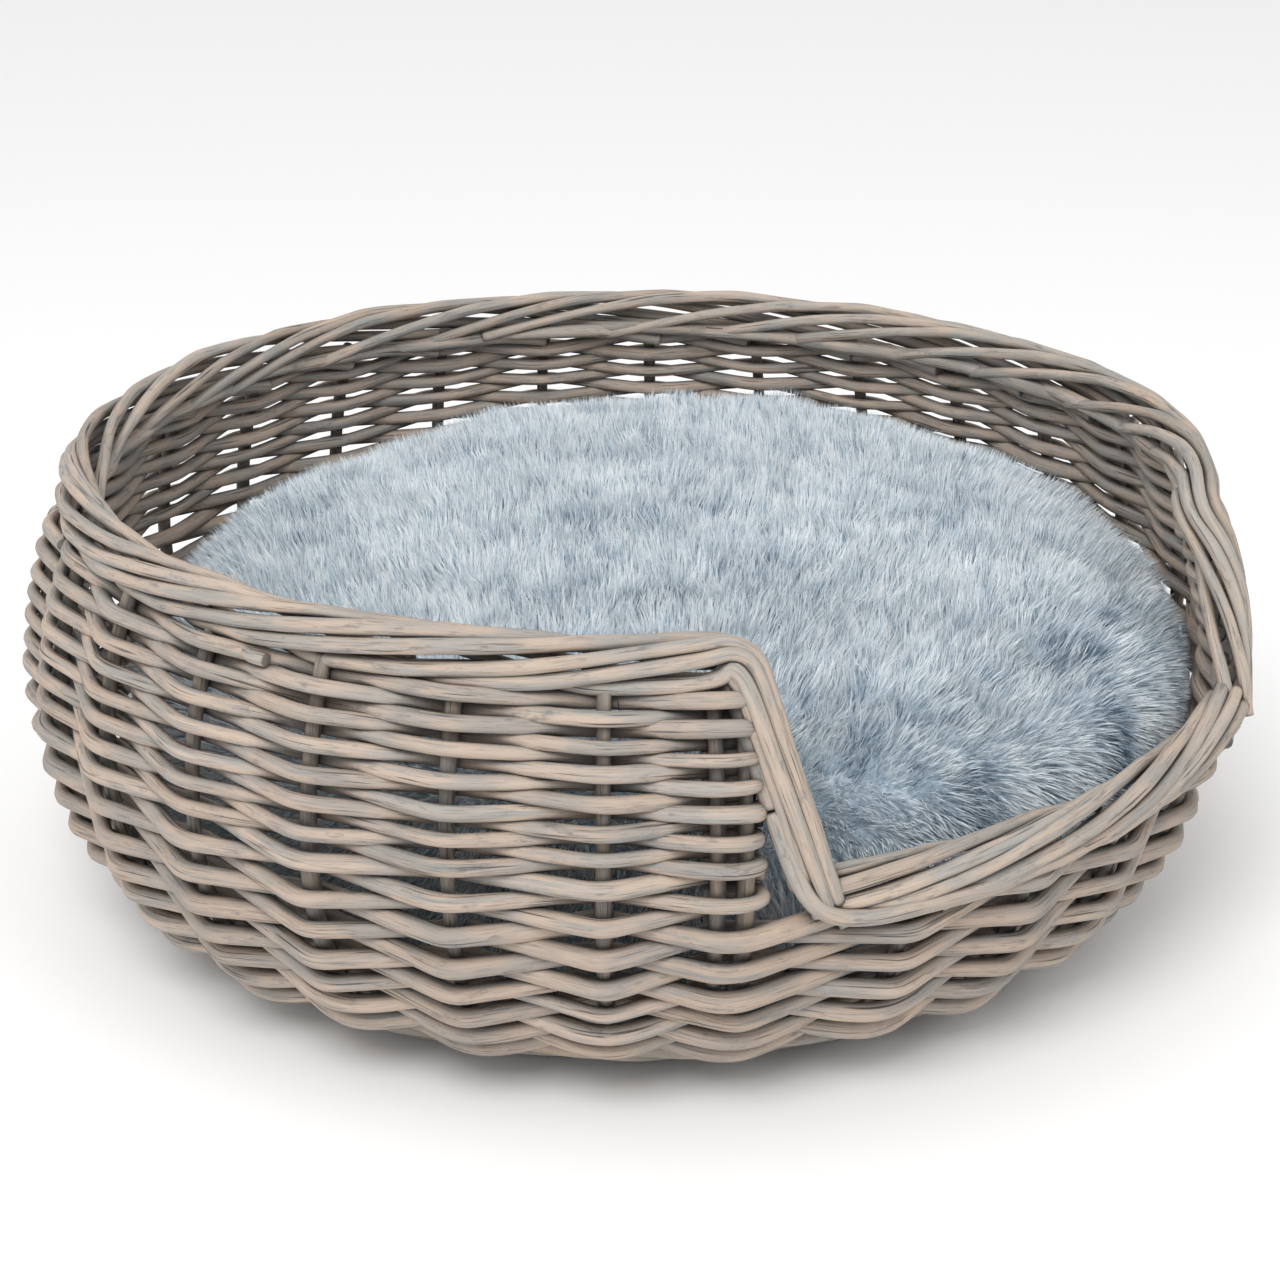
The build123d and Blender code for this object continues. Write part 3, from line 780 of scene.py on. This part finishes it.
def pad_outline():
    """Radius and height from the middle of the top, over the rolled edge, to the middle underneath."""
    flat = PAD_RADIUS - PAD_ROLL
    shoulder = PAD_TOP - PAD_CROWN
    top = [(r, shoulder + PAD_CROWN * (1 - (r / flat) ** 2)) for r in np.linspace(0, flat, 34)]
    bend = np.linspace(0, pi / 2, 13)[1:]
    roll = [(flat + PAD_ROLL * sin(a), shoulder - PAD_ROLL * (1 - cos(a))) for a in bend]
    side = [(PAD_RADIUS, z) for z in np.linspace(shoulder - PAD_ROLL, PAD_SIDE_FOOT, 9)[1:]]
    bend = np.linspace(0, pi / 2, 6)[1:]
    drop = PAD_SIDE_FOOT - SEAM_Z
    under = [(PAD_RADIUS - 0.014 * (1 - cos(a)), PAD_SIDE_FOOT - drop * sin(a)) for a in bend]
    tuck = [(0.1905, 0.040), (0.181, 0.0345)]
    base = [(r, PAD_LOW) for r in np.linspace(0.168, 0, 14)]
    return np.array(top + roll + side + under + tuck + base)


FRONT_TURN, LEFT_TURN, WIDE_TURN, PUSH_TURN = 8, -128, 60, 52  # directions, as angles on the wall
FRONT_DIP, LEFT_DIP, BACK_RISE = 0.012, 0.019, 0.002
DENTS, CREASES, FOLDS, FOLD_WIDTH = 0.0015, 0.0004, 0.0006, 0.0135
GATHERS, GATHER_DEPTH = 17, 0.0014  # round the seam


def pad_shape(points):
    """Leans and dents the round pad as the real one lies: high at the back, low at the entrance."""
    x, y, z = points.T
    lift = smooth(0.06, 0.145, z)
    dent, crease = Lattice(71, 0.075), Lattice(72, 0.03)
    radius = np.hypot(x, y)
    turn = np.arctan2(x, -y)
    front = np.cos(turn - radians(FRONT_TURN)) * smooth(0.05, 0.21, radius)
    height = DENTS * dent.at(x, y) + CREASES * crease.at(x, y)
    left = np.cos(turn - radians(LEFT_TURN)) * smooth(0.03, 0.20, radius)
    height += -FRONT_DIP * np.maximum(front, 0) ** 1.5 + BACK_RISE * np.maximum(-front, 0)
    height += -LEFT_DIP * np.maximum(left, 0) ** 1.3
    fold = np.sin((x * 0.86 + y * 0.5) / FOLD_WIDTH + 1.2 * dent.at(y, x))
    height += FOLDS * fold * smooth(0.19, 0.1, radius)
    grow = 1 + 0.016 * np.cos(turn - radians(WIDE_TURN)) + 0.006 * np.sin(3 * turn)
    pinch = GATHER_DEPTH * np.sin(turn * GATHERS + 1.5 * np.sin(turn * 3))
    pinch *= smooth(0.1, 0.06, z) * smooth(0.14, 0.2, radius)
    scale = (1 + (grow - 1) * smooth(0.1, 0.2, radius)) * (1 - pinch / 0.2)
    pushed = PAD_PUSH * smooth(0.035, 0.08, z)
    x = x * scale + sin(radians(PUSH_TURN)) * pushed
    y = y * scale - cos(radians(PUSH_TURN)) * pushed
    return np.stack([x, y, z + height * lift], -1)


def pad_mesh():
    """The pad's points, its faces and the height of each face before the pad is dented."""
    outline = pad_outline()
    angle = np.arange(AROUND) * 2 * pi / AROUND
    rings = outline[1:-1]
    x = rings[:, 0, None] * np.sin(angle)
    y = -rings[:, 0, None] * np.cos(angle)
    z = np.broadcast_to(rings[:, 1, None], x.shape)
    points = np.stack([x, y, z], -1).reshape(-1, 3)
    points = np.concatenate([[[0, 0, outline[0, 1]]], points, [[0, 0, outline[-1, 1]]]])
    faces, rows = [], []
    last = len(points) - 1
    for i in range(AROUND):
        j = (i + 1) % AROUND
        faces.append((0, 1 + i, 1 + j))
        rows.append(outline[0, 1])
        faces.append((last, last - AROUND + j, last - AROUND + i))
        rows.append(outline[-1, 1])
    for ring in range(len(rings) - 1):
        a, b = 1 + ring * AROUND, 1 + (ring + 1) * AROUND
        for i in range(AROUND):
            j = (i + 1) % AROUND
            faces.append((a + i, b + i, b + j, a + j))
            rows.append((rings[ring, 1] + rings[ring + 1, 1]) / 2)
    return pad_shape(points), faces, np.array(rows)


PRESSURE, CLOTH_FRAMES, CLOTH_CAP = 4.0, 20, 0.006


def inflate(points, faces):
    """Cloth simulation of the pad under pressure; no point moves further than the cap."""
    mesh = bpy.data.meshes.new("pad_cloth")
    mesh.from_pydata(points.tolist(), [], faces)
    cloth_pad = bpy.data.objects.new("pad_cloth", mesh)
    bpy.context.scene.collection.objects.link(cloth_pad)
    cloth = cloth_pad.modifiers.new("cloth", "CLOTH")
    cloth.settings.quality = 5
    cloth.settings.use_pressure = True
    cloth.settings.uniform_pressure_force = PRESSURE
    cloth.settings.effector_weights.gravity = 0
    cloth.collision_settings.use_self_collision = False
    for number in range(1, CLOTH_FRAMES + 1):
        bpy.context.scene.frame_set(number)
    done = cloth_pad.evaluated_get(bpy.context.evaluated_depsgraph_get()).to_mesh()
    moved = np.zeros(len(points) * 3)
    done.vertices.foreach_get("co", moved)
    shift = moved.reshape(-1, 3) - points
    size = np.linalg.norm(shift, axis=1)[:, None]
    bpy.data.objects.remove(cloth_pad)
    bpy.context.scene.frame_set(1)
    return points + shift * CLOTH_CAP * np.tanh(size / CLOTH_CAP) / np.maximum(size, 1e-9)


def mesh_piece(name, points, faces, material, crop=None):
    """A smooth mesh object of some of the faces, without the points that they leave out."""
    if crop is not None:
        faces = [f for f, keep in zip(faces, crop) if keep]
        used = sorted({i for f in faces for i in f})
        new = {old: i for i, old in enumerate(used)}
        faces = [[new[i] for i in f] for f in faces]
        points = points[used]
    mesh = bpy.data.meshes.new(name)
    mesh.from_pydata(points.tolist(), [], faces)
    mesh.polygons.foreach_set("use_smooth", [True] * len(mesh.polygons))
    mesh.materials.append(material)
    piece = bpy.data.objects.new(name, mesh)
    bpy.context.scene.collection.objects.link(piece)
    return piece


def point_normals(points, faces):
    """Outward normals of a mesh's points."""
    mesh = bpy.data.meshes.new("normals")
    mesh.from_pydata(points.tolist(), [], faces)
    normals = np.array([v.vector for v in mesh.vertex_normals])
    bpy.data.meshes.remove(mesh)
    return normals


def soft_cloth(name, low, high, cell, grain):
    """Plain woven or felted cloth in two close shades."""
    material, tree = new_material(name)
    n = Nodes(tree)
    where = n.add("ShaderNodeTexCoord").outputs["Object"]
    threads = n.noise(where, 4.0, 0.6, grain)
    cloud = n.noise(where, 2.0, 0.5, cell)
    mixed = n.math("ADD", n.math("MULTIPLY", threads, 0.7), n.math("MULTIPLY", cloud, 0.3))
    colour = n.mix(n.ramp(mixed, 0.35, 0.68), low, high)
    bump = n.add("ShaderNodeBump", {"Height": threads, "Strength": 0.6, "Distance": 0.001})
    n.surface(colour, 0.95, 0.1, bump.outputs[0])
    return material


# Shades of the pile from light to dark. A hair's random value picks its shade; its root is painted one
# darker, as painted shade deep in the pile.
FUR_SHADES = [
    (243, 246, 247),
    (235, 240, 243),
    (225, 233, 238),
    (212, 222, 230),
    (192, 206, 216),
    (160, 178, 192),
    (118, 138, 154),
]
SHADE_LIMITS = [-0.6, 0.0, 0.5, 1.0, 1.5, 2.1]
PAINTED_SHADE_TURN = 6.0  # the angle from the entrance where the pile is painted darker, painted shade of its roots where it parts
PILE_ROOM = 0.0085  # the pile keeps this far from the stakes' middle lines
HAIR_LENGTH, HAIR_WIDTH = (0.0085, 0.0130), (0.00030, 0.00055)
HAIR_SPREAD, HAIR_DROOP = 0.10, 0.18


def fur_material(name, shade):
    material, tree = new_material(name)
    n = Nodes(tree)
    n.surface(srgb(*shade), 0.8, 0.2)
    return material


def hair_roots(points, faces, rows, normals, count, rng):
    """Random places on the faces above the seam, with the cloth's normal there."""
    quads = np.array([f for f, row in zip(faces, rows) if row > SEAM_Z and len(f) == 4])
    a, b, c, d = (points[quads[:, k]] for k in range(4))
    area = np.linalg.norm(np.cross(c - a, d - b), axis=1)
    pick = rng.choice(len(quads), count, p=area / area.sum())
    u, v = rng.uniform(0, 1, (2, count, 1))

    def blend(table):
        a, b, c, d = (table[quads[pick, k]] for k in range(4))
        return (a * (1 - u) + b * u) * (1 - v) + (d * (1 - u) + c * u) * v

    normal = blend(normals)
    return blend(points), normal / np.linalg.norm(normal, axis=1)[:, None]


def build_pile(points, faces, rows, normals, count, pieces):
    """The pile: flat tapering hairs on the cloth, with painted shade at the root, in several plain
    shades.
    """
    rng = np.random.default_rng(61)
    materials = [fur_material(f"fur_{i + 1}", shade) for i, shade in enumerate(FUR_SHADES)]
    root, normal = hair_roots(points, faces, rows, normals, count, rng)
    x, y, z = root.T
    tuft = [Lattice(seed, 0.0042) for seed in (1, 2)]
    swirl = [Lattice(seed, 0.024) for seed in (3, 4)]
    cloud, patch = Lattice(5, 0.011), Lattice(6, 0.045)
    sideways = [0.15 * tuft[k].at(x + z, y) + 0.07 * swirl[k].at(x + z, y) for k in range(2)]
    lean = np.stack(sideways + [0 * x], -1)
    direction = normal + lean + rng.standard_normal((count, 3)) * HAIR_SPREAD
    direction /= np.linalg.norm(direction, axis=1)[:, None]
    length = rng.uniform(*HAIR_LENGTH, count) * (1 + 0.12 * cloud.at(x, y))
    width = rng.uniform(*HAIR_WIDTH, count)
    across = np.cross(direction, rng.standard_normal((count, 3)))
    across /= np.linalg.norm(across, axis=1)[:, None]
    bent = direction + np.array([0, 0, -HAIR_DROOP]) + lean * 0.5
    bent /= np.linalg.norm(bent, axis=1)[:, None]
    half = across * width[:, None] / 2
    middle = root + direction * (length * 0.5)[:, None]
    tip = middle + bent * (length * 0.5)[:, None]
    for point in (middle, tip):  # the pile is pressed against the wall
        reach = np.hypot(point[:, 0], point[:, 1])
        room = np.minimum(1.0, (wall_radius(point[:, 2]) - PILE_ROOM) / reach)
        point[:, :2] *= room[:, None]
    vertices = np.stack([root - half * 0.8, root + half * 0.8, middle + half, middle - half, tip], 1)
    front = np.cos(np.arctan2(x, -y) - radians(PAINTED_SHADE_TURN)) * smooth(0.16, 0.195, np.hypot(x, y))
    value = 0.42 * tuft[0].at(y, x) + 0.25 * cloud.at(x, y) + 0.16 * patch.at(x, y)
    value += 0.75 * rng.standard_normal(count)
    # painted shade: hairs on the front's rolled edge take darker shades, where the parting pile shows
    # its shaded roots
    value += 1.2 * np.maximum(front, 0) ** 6 * np.clip(cloud.at(y, x) + 0.3, 0, 2)
    shade = np.digitize(value, SHADE_LIMITS)
    # painted shade: each hair's root quad takes the next darker shade
    dark = np.minimum(shade + 1, len(FUR_SHADES) - 1)
    share = np.arange(count) % pieces
    for number in range(pieces):
        mine = np.nonzero(share == number)[0]
        base = np.arange(len(mine))[:, None] * 5
        quads, tips = (base + [0, 1, 2, 3]).tolist(), (base + [3, 2, 4]).tolist()
        mesh = bpy.data.meshes.new(f"fur_pile_{number + 1}")
        mesh.from_pydata(vertices[mine].reshape(-1, 3).tolist(), [], quads + tips)
        for material in materials:
            mesh.materials.append(material)
        mesh.polygons.foreach_set("material_index", np.concatenate([dark[mine], shade[mine]]))
        mesh.polygons.foreach_set("use_smooth", np.ones(2 * len(mine), bool))
        piece = bpy.data.objects.new(f"fur_pile_{number + 1}", mesh)
        bpy.context.scene.collection.objects.link(piece)
        place(piece, CUSHION, "fur")


def build_cushion():
    points, faces, rows = pad_mesh()
    points = inflate(points, faces)
    normals = point_normals(points, faces)
    backing = soft_cloth("fur_backing", srgb(150, 168, 182), srgb(205, 216, 224), 35.0, 320.0)
    top = mesh_piece("fur_top", points, faces, backing, rows > SEAM_Z)
    place(top, CUSHION, "fur", "fur_cover")
    lining = soft_cloth("lining_cloth", srgb(52, 58, 64), srgb(78, 85, 91), 60.0, 1500.0)
    under = mesh_piece("cushion_underside", points, faces, lining, rows <= SEAM_Z)
    place(under, CUSHION, "lining", "lining_cover")
    wadding = soft_cloth("polyester_wadding", srgb(214, 216, 214), srgb(240, 241, 240), 25.0, 200.0)
    inside = mesh_piece("cushion_wadding", points - normals * 0.0015, faces, wadding)
    place(inside, CUSHION, "wadding", "cushion_filling")
    build_pile(points, faces, rows, normals, HAIR_COUNT, 4)


# ---------------------------------------------------------------- camera, lights, floor
CAMERA_TURN = -42.9  # degrees, from looking along +Y
CAMERA_RISE = 21.97
CAMERA_DISTANCE = 1.2
TARGET_Z = 0.0979
CAMERA_ASIDE = 0.0036  # the camera stands this far right of the line through the basket's middle
LENS = 80.05


def build_camera():
    data = bpy.data.cameras.new("camera")
    data.lens = LENS
    data.sensor_width = 36.0
    camera = bpy.data.objects.new("camera", data)
    bpy.context.scene.collection.objects.link(camera)
    turn, rise = radians(CAMERA_TURN), radians(CAMERA_RISE)
    back = CAMERA_DISTANCE * cos(rise)
    camera.location = (
        CAMERA_ASIDE * cos(turn) + back * sin(turn),
        CAMERA_ASIDE * sin(turn) - back * cos(turn),
        TARGET_Z + CAMERA_DISTANCE * sin(rise),
    )
    camera.rotation_euler = (pi / 2 - rise, 0, turn)
    bpy.context.scene.camera = camera


DARK_SIDE = (0.73, -0.68, -0.25)  # the studio is dimmer this way
LIT_POINT = (0, 0, 0.1)
KEY_AT, KEY_SIZE, KEY_POWER = (-1.4, -0.9, 1.9), 1.2, 28
FILL_AT, FILL_SIZE, FILL_POWER = (0.1, -1.8, 1.6), 1.4, 7
FLOOR_HALF = 60.0
FLOOR_DROP = 0.0005
FLOOR_COLOUR = (0.95, 0.95, 0.95, 1.0)


def area_light(name, place_at, size, power):
    data = bpy.data.lights.new(name, "AREA")
    data.shape = "DISK"
    data.size = size
    data.energy = power
    light = bpy.data.objects.new(name, data)
    light.location = place_at
    light.rotation_euler = (Vector(LIT_POINT) - Vector(place_at)).to_track_quat("-Z", "Y").to_euler()
    bpy.context.scene.collection.objects.link(light)


def build_studio():
    world = bpy.data.worlds.new("studio")
    world.use_nodes = True
    n = Nodes(world.node_tree)
    n.tree.nodes.clear()
    towards = n.add("ShaderNodeTexCoord").outputs["Generated"]
    ins = {0: towards, 1: DARK_SIDE}
    facing = n.add("ShaderNodeVectorMath", ins, operation="DOT_PRODUCT").outputs["Value"]
    ins = {"Value": facing, "From Min": -0.4, "From Max": 0.9, "To Min": 0.95, "To Max": 0.55}
    strength = n.add("ShaderNodeMapRange", ins).outputs[0]
    sky = n.add("ShaderNodeBackground", {"Color": (1, 1, 1, 1), "Strength": strength})
    n.add("ShaderNodeOutputWorld", {"Surface": sky.outputs[0]})
    bpy.context.scene.world = world
    area_light("key", KEY_AT, KEY_SIZE, KEY_POWER)
    area_light("fill", FILL_AT, FILL_SIZE, FILL_POWER)
    mesh = bpy.data.meshes.new("floor")
    corners = [(x * FLOOR_HALF, y * FLOOR_HALF, 0) for x, y in ((-1, -1), (1, -1), (1, 1), (-1, 1))]
    mesh.from_pydata(corners, [], [(0, 1, 2, 3)])
    floor = bpy.data.objects.new("floor", mesh)
    floor.location.z = -FLOOR_DROP
    bpy.context.scene.collection.objects.link(floor)
    material, tree = new_material("floor")
    n = Nodes(tree)
    n.surface(FLOOR_COLOUR, 0.9, 0.5)
    mesh.materials.append(material)
    bpy.context.scene.view_settings.view_transform = "Standard"


def finish_base():
    """The base is right as it is modelled in CAD; it gets its willow finish here."""
    finishes = {
        "inner_base_weave": BASE_WILLOW,
        "outer_base_weave": BASE_WILLOW,
        "pierced_base_sticks": BASE_STICK,
        "through_base_sticks": BASE_STICK,
    }
    for name, material in finishes.items():
        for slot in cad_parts[name].material_slots:
            slot.material = material


build_camera()
build_studio()
build_stakes()
build_rows()
build_rim()
build_low_border()
build_foot()
build_upsett()
finish_base()
build_cushion()
